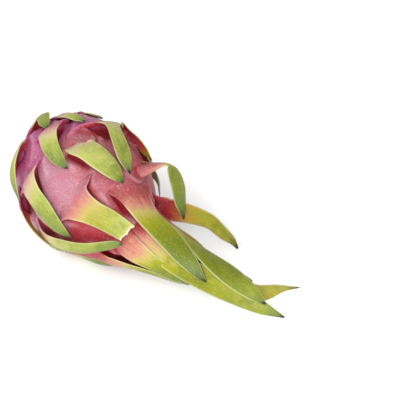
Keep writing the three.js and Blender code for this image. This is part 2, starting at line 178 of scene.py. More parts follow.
print("the fruit's own origin lies at", SHIFT.round(2), "mm")

# %% [markdown]
# ## Shader arithmetic
#
# A finish is a small calculation over the surface: so much pink, so much green, a little speckle.
# Written as node after node it is hard to read, so one class wraps a socket and lets Python's own signs
# add the Math nodes. Everything else is made by one method that takes the node's type, settings and
# inputs.

# %% Amounts and finishes
class Amount:
    """A number that varies over a surface."""

    def __init__(self, finish, socket):
        self.finish, self.socket = finish, socket

    def math(self, operation, *values):
        return self.finish.node("Math", {"operation": operation}, dict(enumerate(values)))

    def __add__(self, other):
        return self.math("ADD", self, other)

    def __sub__(self, other):
        return self.math("SUBTRACT", self, other)

    def __rsub__(self, other):
        return self.math("SUBTRACT", other, self)

    def __mul__(self, other):
        return self.math("MULTIPLY", self, other)

    def __abs__(self):
        return self.math("ABSOLUTE", self)

    __radd__, __rmul__ = __add__, __mul__

    def between(self, low, high):
        """0 below low, 1 above high and a smooth rise between them."""
        inputs = {"Value": self, "From Min": low, "From Max": high}
        return self.finish.node("MapRange", {"interpolation_type": "SMOOTHSTEP"}, inputs)


class Finish:
    """One material and the nodes in it."""

    def __init__(self, name):
        self.material = bpy.data.materials.new(name)
        self.material.use_nodes = True
        self.tree = self.material.node_tree
        self.shader = self.tree.nodes["Principled BSDF"]

    def plug(self, socket, value):
        if isinstance(value, Amount):
            self.tree.links.new(value.socket, socket)
        else:
            socket.default_value = value

    def node(self, kind, settings=None, inputs=None, output=0):
        made = self.tree.nodes.new("ShaderNode" + kind)
        for name, value in (settings or {}).items():
            if name == "stops":
                set_stops(made.color_ramp, value)
            else:
                setattr(made, name, value)
        for name, value in (inputs or {}).items():
            self.plug(made.inputs[name], value)
        return Amount(self, made.outputs[output])

    def mix(self, first, second, share):
        """The first colour with a share of the second over it."""
        settings = {"data_type": "RGBA", "clamp_factor": True}
        return self.node("Mix", settings, {0: share, 6: first, 7: second}, output=2)

    def coats(self, tint, *layers):
        """Colours laid over the first one in turn, each with the share that it covers."""
        for layer, share in layers:
            tint = self.mix(tint, layer, share)
        return tint

    def noise(self, place, size, detail, roughness=0.5):
        """Cloudy noise about 0.5, with blotches of about the given size in metres."""
        inputs = {"Vector": place, "Scale": 1 / size, "Detail": detail, "Roughness": roughness}
        return self.node("TexNoise", inputs=inputs)

    def carried(self, name):
        """A number that the mesh carries at its corners."""
        return self.node("Attribute", {"attribute_name": name}, output="Fac")

    def bump(self, height, strength, distance):
        return self.node("Bump", inputs={"Height": height, "Strength": strength, "Distance": distance})

    def surface(self, **values):
        for name, value in values.items():
            self.plug(self.shader.inputs[name.replace("_", " ")], value)
        return self.material

# %% Colours
def set_stops(ramp, stops):
    while len(ramp.elements) < len(stops):
        ramp.elements.new(0.5)
    for element, (position, *tint) in zip(ramp.elements, stops):
        element.position = position
        element.color = colour(*tint)


STUDIO_GAIN = 1.75  # how much brighter a lit surface looks here than its own colour
SHEEN = 0.016  # the white that gloss lays over it


def colour(red, green, blue):
    """A surface that looks like this colour, 0 to 255, under the studio's light."""
    linear = [((c / 255 + 0.055) / 1.055) ** 2.4 for c in (red, green, blue)]
    return (*(max(c - SHEEN, 0.001) / STUDIO_GAIN for c in linear), 1.0)


print("colour", [round(c, 2) for c in colour(200, 110, 152)])

# %% [markdown]
# ## The skin's colour
#
# The skin is a leathery rind: lilac near the stem, dusty pink over the flank, coral on top and crimson
# towards the neck. A fine pale speckle covers all of it. The scales share this colour at their roots, so
# it is a function of the place in space and not of a piece, and the roots then grow out of the body with
# no seam.

# %% The skin's colour, as a function both finishes call
LILAC = colour(198, 84, 146)
DUSTY_PINK = colour(200, 137, 154)
CORAL = colour(192, 104, 112)
ROSE = colour(198, 98, 110)
CRIMSON = colour(174, 46, 52)
# The pale of the rind's speckle, also laid on the ridges as a painted highlight.
BLOOM_AND_HIGHLIGHT = colour(244, 204, 212)
LILAC_ENDS, ROSE_STARTS, CRIMSON_STARTS = (36, 60), (60, 80), (44, 70)  # mm along the fruit's own axis


def mm(x):
    """A place along the fruit's own axis, in the scene's metres."""
    return (x + SHIFT[0]) / 1000


def skin_colour(finish):
    place = finish.node("TexCoord", output="Object")
    x, y, z = (finish.node("SeparateXYZ", inputs={"Vector": place}, output=axis) for axis in "XYZ")
    drift = (finish.noise(place, 0.02, 3) - 0.5) * 0.03
    lilac = 1 - (x + drift).between(*map(mm, LILAC_ENDS))
    rose = (x + drift - z * 0.4).between(*map(mm, ROSE_STARTS))
    crimson = (x + drift * 1.5 - z * 0.7).between(*map(mm, CRIMSON_STARTS))
    # The far, lower flank darkens towards crimson: painted shade.
    far_shade = (y - z * 0.5 + drift).between(-0.022, 0.008)
    top = (y + z * 0.8 + drift).between(0.02, 0.05)
    clouds = finish.noise(place, 0.009, 4, 0.6).between(0.4, 0.7)
    speckle = finish.noise(place, 0.0011, 1.5, 0.6).between(0.46, 0.66)
    patches = finish.noise(place, 0.012, 3).between(0.4, 0.62)
    bloom = speckle * (patches * 0.2 + 0.17) * (1 - crimson * 0.85)
    tint = finish.coats(
        DUSTY_PINK, (CORAL, top), (ROSE, rose), (CRIMSON, crimson * 0.9), (CRIMSON, far_shade * 0.7),
        (LILAC, lilac), (ROSE, clouds * 0.4), (BLOOM_AND_HIGHLIGHT, bloom),
    )
    return tint, place, speckle

# %% The rind's finish
# How far the crimson of the hollows covers the skin's colour; it is partly the rind's own red and partly
# painted shade.
BLUSH_AND_SHADE_DEPTH = 0.85

rind = Finish("rind")
skin, place, speckle = skin_colour(rind)
blush, ridge = rind.carried("blush"), rind.carried("ridge")
grain = rind.noise(place, 0.0009, 2)
swell = rind.noise(place, 0.012, 2)
# Crimson in the hollows and between crowded scales: partly the rind's own red, partly painted shade.
rind_finish = rind.surface(
    # Paler on the ridges: partly pale lines, partly a painted highlight.
    Base_Color=rind.coats(skin, (CRIMSON, blush * BLUSH_AND_SHADE_DEPTH), (BLOOM_AND_HIGHLIGHT, ridge * 0.3)),
    Roughness=0.42 + speckle * 0.14,
    Normal=rind.bump(grain * 0.25 + swell, 0.35, 0.0012),
    Specular_IOR_Level=0.25,
)
print(len(rind_finish.node_tree.nodes), "nodes in the rind")

# %% [markdown]
# ## The scales' finish
#
# A scale is pink like the skin at its root, and turns crimson where the root lies in the hollow of
# another, partly its own red and partly painted shade. Then it pales through salmon and cream to
# yellow-green, and darkens to leaf green at its tip, which ends in a small dark point. Its inner face
# stays crimson much further and turns olive, inside a thin cream rim that is partly a paler margin and
# partly a painted highlight. How far each scale has greened differs, so the mesh carries that as an
# attribute, `green`, below 0 on the root and rising to 1 at a dark tip, with `side` across it from -1
# to 1. One finish then serves every scale.

# %% The outer and inner face of a scale
LEAF_SHADE = colour(112, 124, 44)
FRECKLE = colour(226, 228, 170)
# The cream of a painted highlight on a root's corner.
HIGHLIT_CORNER = colour(228, 208, 176)
TORN_FLESH = colour(240, 238, 208)


def leaf_face(name, stops, olive_stops, skin_share, rim, rim_and_highlight_depth, streak_depth):
    finish = Finish(name)
    skin, place, _ = skin_colour(finish)
    side, green = finish.carried("side"), finish.carried("green")
    across = {"X": side * 5.0, "Y": finish.carried("length") * 0.06, "Z": finish.carried("seed")}
    streaks = finish.noise(finish.node("CombineXYZ", inputs=across), 1.0, 3, 0.6)
    clouds = finish.noise(place, 0.007, 3, 0.6)
    # side * 0.04 makes the blade a little greener and darker towards side 1: painted shade.
    ripeness = green + (streaks - 0.5) * streak_depth * 2 + (clouds - 0.5) * 0.2 + side * 0.04
    pale = finish.node("ValToRGB", {"stops": stops}, {"Fac": ripeness})
    deep = finish.node("ValToRGB", {"stops": olive_stops}, {"Fac": ripeness})
    blade = finish.mix(pale, deep, finish.carried("olive"))
    shade = finish.noise(place, 0.014, 3, 0.6).between(0.45, 0.7) * green.between(0.3, 0.6)
    freckles = finish.noise(place, 0.0012, 2, 0.6).between(0.54, 0.68)
    specks = finish.noise(place, 0.0016, 1).between(0.68, 0.74) * green.between(0.2, 0.5)
    edge = abs(side).between(0.8, 1.0)
    # On a scale's root, crimson where it lies in a hollow: partly its own red, partly painted shade.
    tint = finish.coats(
        skin, (CRIMSON, finish.carried("blush") * BLUSH_AND_SHADE_DEPTH), (blade, ripeness.between(*skin_share)),
        (LEAF_SHADE, shade * 0.45), (FRECKLE, freckles * 0.18), (LEAF_SHADE, specks * 0.7),
        # A cream rim along the edges: partly a paler margin, partly a painted highlight.
        (rim, edge * green.between(0.03, 0.25) * rim_and_highlight_depth),
        (skin, edge * (1 - green.between(0.05, 0.25)) * 0.9),
        # The pale left corner is a painted highlight.
        (HIGHLIT_CORNER, finish.carried("pale")), (TORN_FLESH, finish.carried("torn")),
    )
    return finish.surface(
        Base_Color=tint,
        Roughness=0.38 + clouds * 0.12,
        Normal=finish.bump(streaks + freckles * 0.15 + clouds * 0.6, 0.3, 0.0008),
        Specular_IOR_Level=0.25,
    )


# how far it has greened, then the colour there
OUTER_STOPS = [
    (0.08, 206, 116, 122), (0.22, 222, 172, 158), (0.34, 222, 204, 152),
    (0.48, 196, 200, 108), (0.62, 168, 178, 80), (0.74, 142, 156, 70),
    (0.86, 112, 132, 64), (1.00, 34, 32, 24),
]
OLIVE_STOPS = [
    (0.08, 198, 96, 100), (0.22, 214, 148, 124), (0.34, 206, 188, 104),
    (0.48, 166, 168, 32), (0.62, 136, 144, 18), (0.74, 118, 130, 22),
    (0.86, 112, 128, 52), (1.00, 40, 28, 24),
]
INNER_STOPS = [
    (0.08, 212, 70, 88), (0.26, 204, 66, 76), (0.40, 206, 108, 62),
    (0.54, 206, 170, 64), (0.75, 174, 174, 58), (1.00, 52, 42, 28),
]
outer_finish = leaf_face(
    "scale_outside", OUTER_STOPS, OLIVE_STOPS, skin_share=(0.02, 0.22),
    rim=colour(232, 232, 176), rim_and_highlight_depth=0.5, streak_depth=0.1,
)
inner_finish = leaf_face(
    "scale_inside", INNER_STOPS, INNER_STOPS, skin_share=(-0.6, -0.4),
    rim=colour(214, 178, 136), rim_and_highlight_depth=0.85, streak_depth=0.12,
)
print("two faces, one finish each")

# %% [markdown]
# ## The body
#
# The body is drawn as a potter would: a ring at the stem dimple is extruded along the axis, and each new
# ring is moved on, turned square to the bending axis and widened or narrowed to the outline. Then both
# ends are drawn together to a point, and subdivision rounds the whole.

# %% Helpers for every piece
def deselect():
    bpy.ops.object.select_all(action="DESELECT")


def pick(piece):
    """Selects this piece and nothing else."""
    deselect()
    piece.select_set(True)
    bpy.context.view_layer.objects.active = piece


def modify(piece, kind, **settings):
    """Adds a modifier and applies it."""
    made = piece.modifiers.new(kind.title(), kind)
    for name, value in settings.items():
        setattr(made, name, value)
    bpy.context.view_layer.objects.active = piece
    bpy.ops.object.modifier_apply(modifier=made.name)


def rounded(piece):
    """Subdivides the piece once and shades it smooth."""
    modify(piece, "SUBSURF", levels=1, render_levels=1)
    pick(piece)
    bpy.ops.object.shade_smooth()


def settle(piece):
    """Leaves the piece's object at the origin, unturned and unscaled, with its place in its mesh."""
    pick(piece)
    bpy.ops.object.transform_apply(location=True, rotation=True, scale=True)


def select_open_edges():
    bpy.ops.mesh.select_mode(type="EDGE")
    bpy.ops.mesh.select_all(action="DESELECT")
    bpy.ops.mesh.select_non_manifold(extend=False)


def face_outwards():
    bpy.ops.mesh.select_all(action="SELECT")
    bpy.ops.mesh.normals_make_consistent(inside=False)


# %% Rings up the body
BODY_SIDES, BODY_RINGS = 96, 80
BODY_END = 164  # mm along the skin, inside the tuft
END_RINGS = [(1.2, 0.6), (2.5, 2.5)]  # mm: how far past that, and how much narrower
LAST_RING = (3.25, 0.4)  # mm: how far past it, and its radius


def ring_centre(x):
    forward, aside, angle = axis_at(x)
    return placed(np.array([forward, 0, 0]) + aside * bend_side), float(angle)


def grown(name, profile, sides):
    """A tube of rings square to the bending axis, left in edit mode with its last ring selected.

    The profile is a list of (x on the straight axis, radius) in millimetres.
    """
    centre, angle = ring_centre(profile[0][0])
    radius = profile[0][1]
    square = Matrix.Rotation(angle, 4, Vector(bend_across)) @ Matrix.Rotation(math.pi / 2, 4, "Y")
    deselect()
    bpy.ops.mesh.primitive_circle_add(
        vertices=sides, radius=radius / 1000, location=centre, rotation=square.to_euler(),
    )
    piece = bpy.context.object
    piece.name = name
    settle(piece)
    bpy.ops.object.mode_set(mode="EDIT")
    for x, next_radius in profile[1:]:
        next_centre, next_angle = ring_centre(x)
        bpy.ops.mesh.extrude_edges_move(TRANSFORM_OT_translate={"value": next_centre - centre})
        if next_angle != angle:
            turn_ring(piece, next_angle - angle, Vector(next_centre))
        bpy.ops.transform.resize(value=(next_radius / radius,) * 3, center_override=next_centre)
        centre, angle, radius = next_centre, next_angle, next_radius
    return piece


def turn_ring(piece, angle, centre):
    """Turns the selected corners about their centre, towards the side that the axis bends to."""
    turn = Matrix.Rotation(angle, 3, Vector(bend_across))
    bpy.ops.object.mode_set(mode="OBJECT")
    for corner in piece.data.vertices:
        if corner.select:
            corner.co = turn @ (corner.co - centre) + centre
    bpy.ops.object.mode_set(mode="EDIT")


rings = lifted_outline(np.linspace(0, BODY_END, BODY_RINGS + 1)[1:], 0)
body_profile = [(float(x), float(radius)) for x, radius in zip(*rings)]
last_x, last_radius = body_profile[-1]
body_profile += [(last_x + past, last_radius - narrower) for past, narrower in END_RINGS]
body_profile.append((last_x + LAST_RING[0], LAST_RING[1]))

body = grown("rind_and_flesh", body_profile, BODY_SIDES)
print(len(body.data.vertices), "corners at the first count")

# %% Close both ends
bpy.ops.mesh.merge(type="CENTER")
select_open_edges()
bpy.ops.mesh.merge(type="CENTER")
face_outwards()
bpy.ops.object.mode_set(mode="OBJECT")
rounded(body)
body.data.materials.append(rind_finish)
print(len(body.data.polygons), "faces on the body")

# %% [markdown]
# ## The scales
#
# A scale lies on the skin at its root, leaves it over a few millimetres and curls away as a blade. No
# transform operator can lay a sheet along such a path, so the sheet starts as a primitive grid, its
# points are moved to their places on the map in code, and modifiers finish it: Solidify gives it a
# fleshy thickness that thins to the edge, and Subdivision Surface rounds the edge.
#
# No two scales are alike, so each is a row of stations with a few words of its own. Words for its shape:
# - cup: how far the blade's edges curl in, in millimetres, mostly 1.5
# - flare: how far its lip stands up beyond the usual, in millimetres
# - horns: the size of the two horns that its root's corners send out over the skin
# - hold: how many stations later its right edge leaves the skin
# - run: how far the lip runs back along the root, in stations
# - ease: over how many millimetres the blade turns back to face away from the skin
# - twist: degrees the blade turns about its own length, and the stations where that starts and ends
#
# Words for the rind round it:
# - cushion: how high its cushion is, as a share of the usual
# - filled: how much rind fills its hollow, 0.4 to make it level and 1 for a swelling
# - brink: how far outside the blade's edge the hollow begins, in millimetres, below 0 when inside it
# - blush: how much further out the hollow's crimson reaches, in millimetres; the crimson is
#   partly the rind's own red and partly painted shade
#
# Words for its colour:
# - olive: 1 for a blade of the tuft's deeper green, 0 for a paler one
# - lean: how much greener its right edge is than its left, partly its own tone and partly painted shade
# - rim: how much greener its left edge is where the blade leaves the skin
# - pale: how strongly a painted highlight pales its left corner
# - broken: True for a blade with a torn end

# %% The path of each scale
# stations: distance along the skin, turn, lift, half width, and how green it is there
SCALES = {
    "crown_scale_1": dict(blush=-3, stations=[
        (26, 27, 0, 8, 0), (35, 26, 2.5, 8.5, 0.04), (41, 18, 7, 6, 0.3), (46, 13, 9, 5.5, 0.6),
        (56, 17, 8, 4.5, 0.7), (63, 19, 5, 0.5, 0.9)]),
    "crown_scale_2": dict(cup=2, stations=[
        (30, -14, 0, 9, 0), (43, -9, 3, 9, 0.06), (54, -5, 5, 6, 0.2), (62, -6, 6.5, 5, 0.46),
        (68, -9, 5.5, 4, 0.66), (73, -10, 4.5, 1, 0.9)]),
    "crown_scale_3": dict(stations=[
        (28, -44, 0, 8, 0), (38, -43, 4, 9, 0.1), (42, -44, 5, 5, 0.45), (52, -44, 4, 4, 0.75),
        (62, -38, 3.4, 0.6, 0.95)]),
    "crown_scale_4": dict(cup=2, stations=[
        (22, 128, 0, 8, 0), (33, 128, 2.5, 9, 0.12), (41, 128, 4.5, 6.5, 0.5), (49, 129, 4.5, 5, 0.66),
        (57, 130, 3.5, 0.7, 0.9)]),
    "crown_scale_5": dict(cup=1, stations=[
        (20, 160, 0, 8, 0), (32, 160, 2.5, 9, 0.12), (40, 158, 5, 6, 0.5), (48, 156, 5, 4.5, 0.66),
        (56, 154, 4, 0.7, 0.9)]),
    "crown_scale_6": dict(stations=[
        (26, -150, 0, 9, 0), (38, -148, 3, 10, 0.12), (47, -146, 6, 7, 0.5), (57, -143, 6, 5, 0.66),
        (68, -140, 5, 0.7, 0.9)]),
    "crown_scale_7": dict(cup=2, stations=[
        (24, -104, 0, 9, 0), (38, -104, 3, 11, 0.12), (47, -102, 8, 7, 0.5),
        (58, -100, 10, 5.5, 0.66), (70, -98, 7, 0.7, 0.9)]),
    "shoulder_scale_1": dict(cup=2, flare=0.5, brink=-2.5, stations=[
        (46, 20, 0, 12, 0), (60, 17, 3, 13, 0), (66, 18, 8, 11, 0.08), (73, 23, 11, 8, 0.26),
        (84, 28, 10, 6.5, 0.58), (95, 30, 7, 4.5, 0.76), (103, 30, 4, 0.8, 0.95)]),
    "shoulder_scale_2": dict(cup=2, flare=1, brink=-2.5, lean=-0.12, stations=[
        (56, 58, 0, 13, 0), (75, 60, 3, 15, 0), (82, 61, 7, 10, 0.15), (93, 65, 8, 8, 0.42),
        (105, 70, 8, 7.5, 0.62), (117, 79, 7, 5, 0.78), (125, 86, 5, 0.8, 0.96)]),
    "shoulder_scale_3": dict(flare=0.5, horns=(1, 3.4), blush=10, stations=[
        (56, -24, 0, 14, 0), (74, -26, 3, 15, 0), (83, -24, 9, 10, 0.1), (92, -20, 13, 5.5, 0.38),
        (104, -17, 13, 6, 0.58), (117, -16, 10, 5.5, 0.7), (128, -15, 7, 0.7, 0.95)]),
    "shoulder_scale_4": dict(brink=-6, blush=-6, stations=[
        (36, 62, 0, 13, 0), (50, 57, 3, 14, 0.14), (58, 54, 8, 8.5, 0.36), (66, 60, 11, 5, 0.54),
        (74, 69.5, 10, 4, 0.7), (81, 80, 7, 0.8, 0.92)]),
    "shoulder_scale_5": dict(cup=1, flare=-1, horns=(1, 0.4), stations=[
        (58, 140, 0, 12, 0), (68, 140, 3, 12, 0.12), (76, 140, 4, 8, 0.4), (84, 141, 3.5, 6, 0.6),
        (92, 142, 3.5, 4.5, 0.7), (100, 143, 3, 0.7, 0.92)]),
    "shoulder_scale_6": dict(stations=[
        (52, -138, 0, 12, 0), (66, -137, 3, 14, 0.12), (76, -135, 6, 8, 0.4), (88, -132, 7, 6.5, 0.6),
        (102, -129, 7, 5, 0.7), (114, -126, 5, 0.7, 0.92)]),
    "shoulder_scale_7": dict(stations=[
        (52, -98, 0, 13, 0), (68, -96, 3, 14, 0.12), (78, -94, 6, 9, 0.4), (92, -92, 6.5, 6, 0.6),
        (108, -90, 6, 4.2, 0.76), (126, -90, 5, 0.7, 0.94)]),
    "belly_scale_1": dict(flare=0.5, horns=(0.2, 1), blush=4, pale=0.9, stations=[
        (76, 11, 0, 11, 0), (89, 8, 3, 12, 0.06), (95, 10, 6, 9.8, 0.34), (102.2, 7, 8, 9.2, 0.46),
        (112.3, 2.9, 8, 9, 0.52), (123.5, -0.4, 8, 6.2, 0.62), (131.5, -5, 4, 0.6, 0.95)]),
    "belly_scale_2": dict(cup=1, flare=1, blush=6, broken=True, olive=1, stations=[
        (98, 48, 0, 15, 0), (114, 48, 2.5, 19, 0.02), (122, 48, 4, 12.5, 0.16), (131, 46, 6, 9, 0.38),
        (143, 43, 8, 8, 0.5), (156, 44, 9, 7, 0.52)]),
    "belly_scale_3": dict(ease=80, olive=0.7, hold=1.2, rim=0.35, horns=(1, 0.3), run=1,
        cushion=2, filled=0.45, brink=1, twist=(24.5, 3.5, 5.4), stations=[
        (104, -28, 0, 11, 0), (115.4, -34.8, 1.8, 9.6, 0.02), (121.6, -42, 8, 8.4, 0.06),
        (125, -51, 20, 2.4, 0.3), (131, -54.6, 23.7, 6.7, 0.6), (144, -61.5, 24, 6.7, 0.7),
        (158.7, -77, 21.4, 6.3, 0.8), (169, -86.3, 17, 0.6, 0.95)]),
    "belly_scale_4": dict(cup=2, blush=5, stations=[
        (80, 107, 0, 13, 0), (94, 105, 3.5, 12, 0.02), (106, 104, 6.5, 7, 0.26), (122, 97, 8, 6, 0.56),
        (137, 84, 10, 5, 0.66), (149, 69, 10, 3.5, 0.78), (156, 61, 9, 0.8, 0.95)]),
    "belly_scale_5": dict(cup=2, cushion=0.3, blush=-3, twist=(33, 1.3, 2.4), stations=[
        (62, 96, 0, 12, 0), (72.4, 92.5, 3, 14, 0), (81.6, 89.3, 5.2, 7.9, 0.04),
        (90.4, 92.7, 7.3, 4.9, 0.4), (102, 101.3, 7.5, 4.2, 0.66), (112, 112.4, 6, 4, 0.8),
        (119, 112.6, 4.6, 0.7, 0.92)]),
    "belly_scale_6": dict(cup=2, filled=1, lean=0.4, twist=(-32, 1.2, 2.5), stations=[
        (58, -50, 0, 11, 0), (71, -50.2, 3.5, 12.2, 0), (77, -53, 4.5, 10, 0),
        (87.5, -49.5, 4.8, 8.3, 0.08), (97.3, -48.5, 7.5, 6.2, 0.24), (102, -55.5, 6, 5.2, 0.5),
        (106.5, -62.5, 5.8, 0.6, 0.95)]),
    "belly_scale_7": dict(stations=[
        (80, -66, 0, 12, 0), (92, -66, 3, 12, 0.06), (99, -66, 4.5, 8, 0.2), (104, -65, 5, 5, 0.45),
        (110, -63, 4.5, 0.8, 0.85)]),
    "belly_scale_8": dict(flare=-1.7, horns=(1, 0.2), twist=(-30, 1.5, 3), stations=[
        (84, 153, 0, 10, 0), (98, 152, 2.5, 10, 0.12), (108, 154, 3.8, 7, 0.5), (120, 156, 5, 5, 0.72),
        (134, 153, 5, 3.8, 0.84), (144, 148, 4, 0.7, 0.95)]),
    "belly_scale_9": dict(stations=[
        (104, -166, 0, 11, 0), (114, -165, 2, 12, 0.12), (122, -163, 4, 8, 0.4),
        (134, -160, 6, 6.5, 0.6), (146, -157, 8, 5, 0.7), (158, -154, 6, 0.7, 0.92)]),
    "belly_scale_10": dict(stations=[
        (88, -128, 0, 13, 0), (102, -126, 3, 15, 0.12), (112, -124, 7, 9, 0.4),
        (126, -119, 10, 7, 0.6), (142, -115, 11, 5.5, 0.7), (156, -111, 9, 0.7, 0.92)]),
    "tuft_leaf_1": dict(flare=1, horns=(0.5, 0.5), stations=[
        (117, -12, 0, 15, 0), (132, -13, 3, 16, 0.02), (148, -5, 7, 11.5, 0.18),
        (166.5, 7, 10.5, 9.5, 0.5), (185, 18, 12, 8.5, 0.66), (199, 31, 12, 7, 0.76),
        (209.5, 43, 10.5, 4.5, 0.86), (220, 60, 8, 0.6, 0.98)]),
    "tuft_leaf_2": dict(stations=[
        (132, 46, 0, 13, 0), (156, 38, 3, 13, 0.04), (172, 45, 4, 9, 0.26), (187, 54, 4, 8, 0.42),
        (203, 58, 5, 8.6, 0.52), (220, 59, 6, 8.4, 0.56), (240, 56, 7, 7.6, 0.56),
        (260, 53, 7, 5.2, 0.62), (278, 46, 6, 0.6, 0.92)]),
    "tuft_leaf_3": dict(stations=[
        (128, 74, 0, 10, 0), (150, 63, 3.5, 9.7, 0.1), (165, 71, 5.5, 8.7, 0.22), (176, 80, 6, 7, 0.42),
        (187, 90, 6, 6, 0.64), (198, 95, 6, 4, 0.76), (208, 101, 4, 0.6, 0.92)]),
    "tuft_leaf_4": dict(horns=(1, 0.4), stations=[
        (122, 122, 0, 12, 0), (137, 120, 3, 11, 0.06), (148, 123, 5.5, 8, 0.22),
        (163, 126, 6.5, 6.5, 0.42), (179, 130, 7, 6, 0.62), (194, 131, 6.5, 4, 0.74),
        (206, 133, 4, 0.6, 0.92)]),
    "tuft_leaf_5": dict(ease=80, twist=(-35, 0.5, 3), stations=[
        (118, -84, 0, 12, 0), (135, -84, 2, 12, 0.05), (142, -88, 9, 10.5, 0.2),
        (152, -92, 21, 9, 0.42), (167, -95.5, 32, 7.5, 0.66), (181, -99, 39, 6.2, 0.74),
        (197, -104.5, 41, 4.6, 0.8), (206, -115, 50, 0.8, 0.95)]),
    "tuft_leaf_6": dict(stations=[
        (140, -50, 0, 11, 0), (153, -50, 3, 12, 0), (169, -53, 5, 11, 0.1),
        (190, -33, 5.5, 9, 0.42), (212.5, -2, 7, 8.5, 0.66), (234, 15.5, 8.5, 8, 0.66),
        (251, 28, 10, 5.5, 0.62), (263.5, 38, 11, 0.6, 0.88)]),
    "tuft_leaf_7": dict(cup=1, horns=(0.6, 0.6), twist=(10, 4, 7), stations=[
        (148, -112, 0, 10, 0), (160, -108, 3, 11, 0.14), (176, -102, 6, 9, 0.45),
        (192, -99, 6, 8, 0.6), (210, -104, 3, 7.5, 0.66), (230, -118, 2, 7, 0.68),
        (246.5, -120.7, 2, 7.2, 0.7), (263.4, -60, 10, 3.8, 0.76), (275.5, -41.6, 16, 0.5, 0.95)]),
    "tuft_leaf_8": dict(horns=(0.4, 0.4), stations=[
        (124, 168, 0, 12, 0), (140, 166, 3, 12, 0.1), (156, 164, 6, 8.5, 0.4), (174, 164, 7, 7.5, 0.6),
        (192, 166, 7, 6, 0.74), (210, 168, 5, 0.7, 0.92)]),
    "tuft_leaf_9": dict(horns=(0.4, 0.4), stations=[
        (130, -152, 0, 12, 0), (146, -148, 3, 12, 0.1), (162, -144, 6, 8.5, 0.4),
        (182, -140, 8, 8, 0.6), (204, -136, 9, 6.5, 0.74), (226, -132, 8, 0.7, 0.92)]),
    "tuft_leaf_10": dict(horns=(0.4, 0.4), stations=[
        (148, -80, 0, 8, 0), (161, -76, 2, 8.5, 0.1), (178, -71, 3, 6.5, 0.4), (198, -60, 2.5, 6, 0.6),
        (217, -42, 3, 5, 0.74), (236, -26, 4.5, 3.5, 0.84), (246, -18, 5, 0.6, 0.95)]),
}
print(len(SCALES), "scales")

# %% The middle line of a scale
STEPS = 8  # rows of the sheet from one station to the next
FRAME_EASE = 14  # mm over which a blade turns back to face away from the skin
NARROWEST = 0.35  # mm: the least half width


def square_to(way, vector):
    """The part of the vector that is square to a way of length 1."""
    return vector - (vector @ way) * way


def middle_line(scale):
    """At each row, the scale's numbers, its middle point and the way its blade points and faces."""
    t = np.arange((len(scale["stations"]) - 1) * STEPS + 1) / STEPS
    along, turn, lift, half, green = through(scale["stations"], t).T
    centre = on_skin(along, turn, lift)
    outward = unit(on_skin(along, turn, lift + 1) - centre)
    ahead, behind = np.minimum(np.arange(len(t)) + 1, len(t) - 1), np.maximum(np.arange(len(t)) - 1, 0)
    pointing = unit(centre[ahead] - centre[behind])
    facing = np.zeros_like(centre)
    face, before = outward[0], centre[0]
    for k, point in enumerate(centre):
        share = 1 - math.exp(-math.dist(point, before) / scale.get("ease", FRAME_EASE))
        kept = unit(square_to(pointing[k], face))
        face = unit((1 - share) * kept + share * square_to(pointing[k], outward[k]))
        face, before = unit(square_to(pointing[k], face)), point
        facing[k] = face
    degrees, start, end = scale.get("twist", (0, 0, 1))
    angle = np.radians(degrees) * smooth(start, end, t)[:, None]
    facing = facing * np.cos(angle) + np.cross(pointing, facing) * np.sin(angle)
    return dict(
        t=t, along=along, turn=turn, lift=lift, half=np.maximum(half, NARROWEST), green=green,
        centre=centre, pointing=pointing, facing=facing, across=np.cross(pointing, facing),
        slope=np.stack([along[ahead] - along[behind], np.radians(turn[ahead] - turn[behind])], -1),
    )


print(len(middle_line(SCALES["tuft_leaf_2"])["t"]), "rows in the longest leaf")

# %% How a sheet is shaped
ROOT_THICKNESS, BLADE_THICKNESS, LIP_THICKNESS, EDGE_THICKNESS = 2.4, 1.3, 1.5, 0.6  # mm
MIDDLE_THINS, EDGE_THINS, TIP_THINS = (1, 2.5), (1.2, 3), 0.8  # stations over which it does
ROOT_SINK = 0.5  # mm: how far the root's edges lie below the skin
LEAVES_AT, LEAVES_OVER = 0.7, 1.1  # stations over which the sheet leaves the skin
FREED = (0.9, 2)  # stations over which it gives up the skin's curve for its own
CUP = 1.5  # mm: how far a blade's edges curl in
DEEPEST_WRAP, FULL_CURL = 0.6, 0.6  # shares of the half width, and of the widest one
THINNEST = 8  # mm: the least radius of the skin that a scale wraps round
LIP_RISE, LIP_AT, LIP_RUN_BEFORE, LIP_RUN_AFTER = 2.2, 1.1, 0.6, 0.42  # mm, then stations
HORN_FROM, HORN_FADE = 0.65, (1.9, 0.9)  # where across the sheet the horns begin, and end along it
HORN_START, HORN_GROWTH = 0.18, 0.34  # how far they reach out, as shares of the root's half width
HORN_AHEAD, HORN_SINK = 2, 2.5  # mm: how far past the second station they end, how deep they start
WAVE_HEIGHT, WAVE_TURNS = 0.35, 2.6  # mm, radians a station: the waves along a blade's edges
TEAR_LENGTH = 0.6  # stations of a broken blade that its torn end pulls along
print("scales are", EDGE_THICKNESS, "to", ROOT_THICKNESS, "mm thick")

# %% Where a point of the sheet goes
def on_root(scale, line, row, side, horn, reach, lip):
    """The point where the sheet lies on the skin, with its horns run forward and its edges sunk."""
    t, along, turn, lift = (line[name][row] for name in ("t", "along", "turn", "lift"))
    share = np.minimum(np.where(side < 0, *scale.get("horns", (1, 1))), 1)
    along = along + horn * share * np.maximum(scale["stations"][1][0] + HORN_AHEAD - along, 0)
    radius = np.maximum(outline_at(along)[:, 1], THINNEST)
    heading = unit(line["slope"][row] * np.stack([np.ones_like(radius), radius], -1))
    sink = ROOT_SINK + HORN_SINK * np.maximum(1 - t, 0) * share
    swell = (lift + sink) * (1 - side**2) ** 2 - sink + lip
    root_along = np.maximum(along - reach * heading[:, 1], 0)
    return on_skin(root_along, turn + np.degrees(reach * heading[:, 0] / radius), swell), radius


def torn(side):
    """How far the edge of a torn end stands forward, in millimetres."""
    return 0.5 * np.sin(6 * side + 1) + 0.3 * np.sin(14 * side) - 1.4 * side


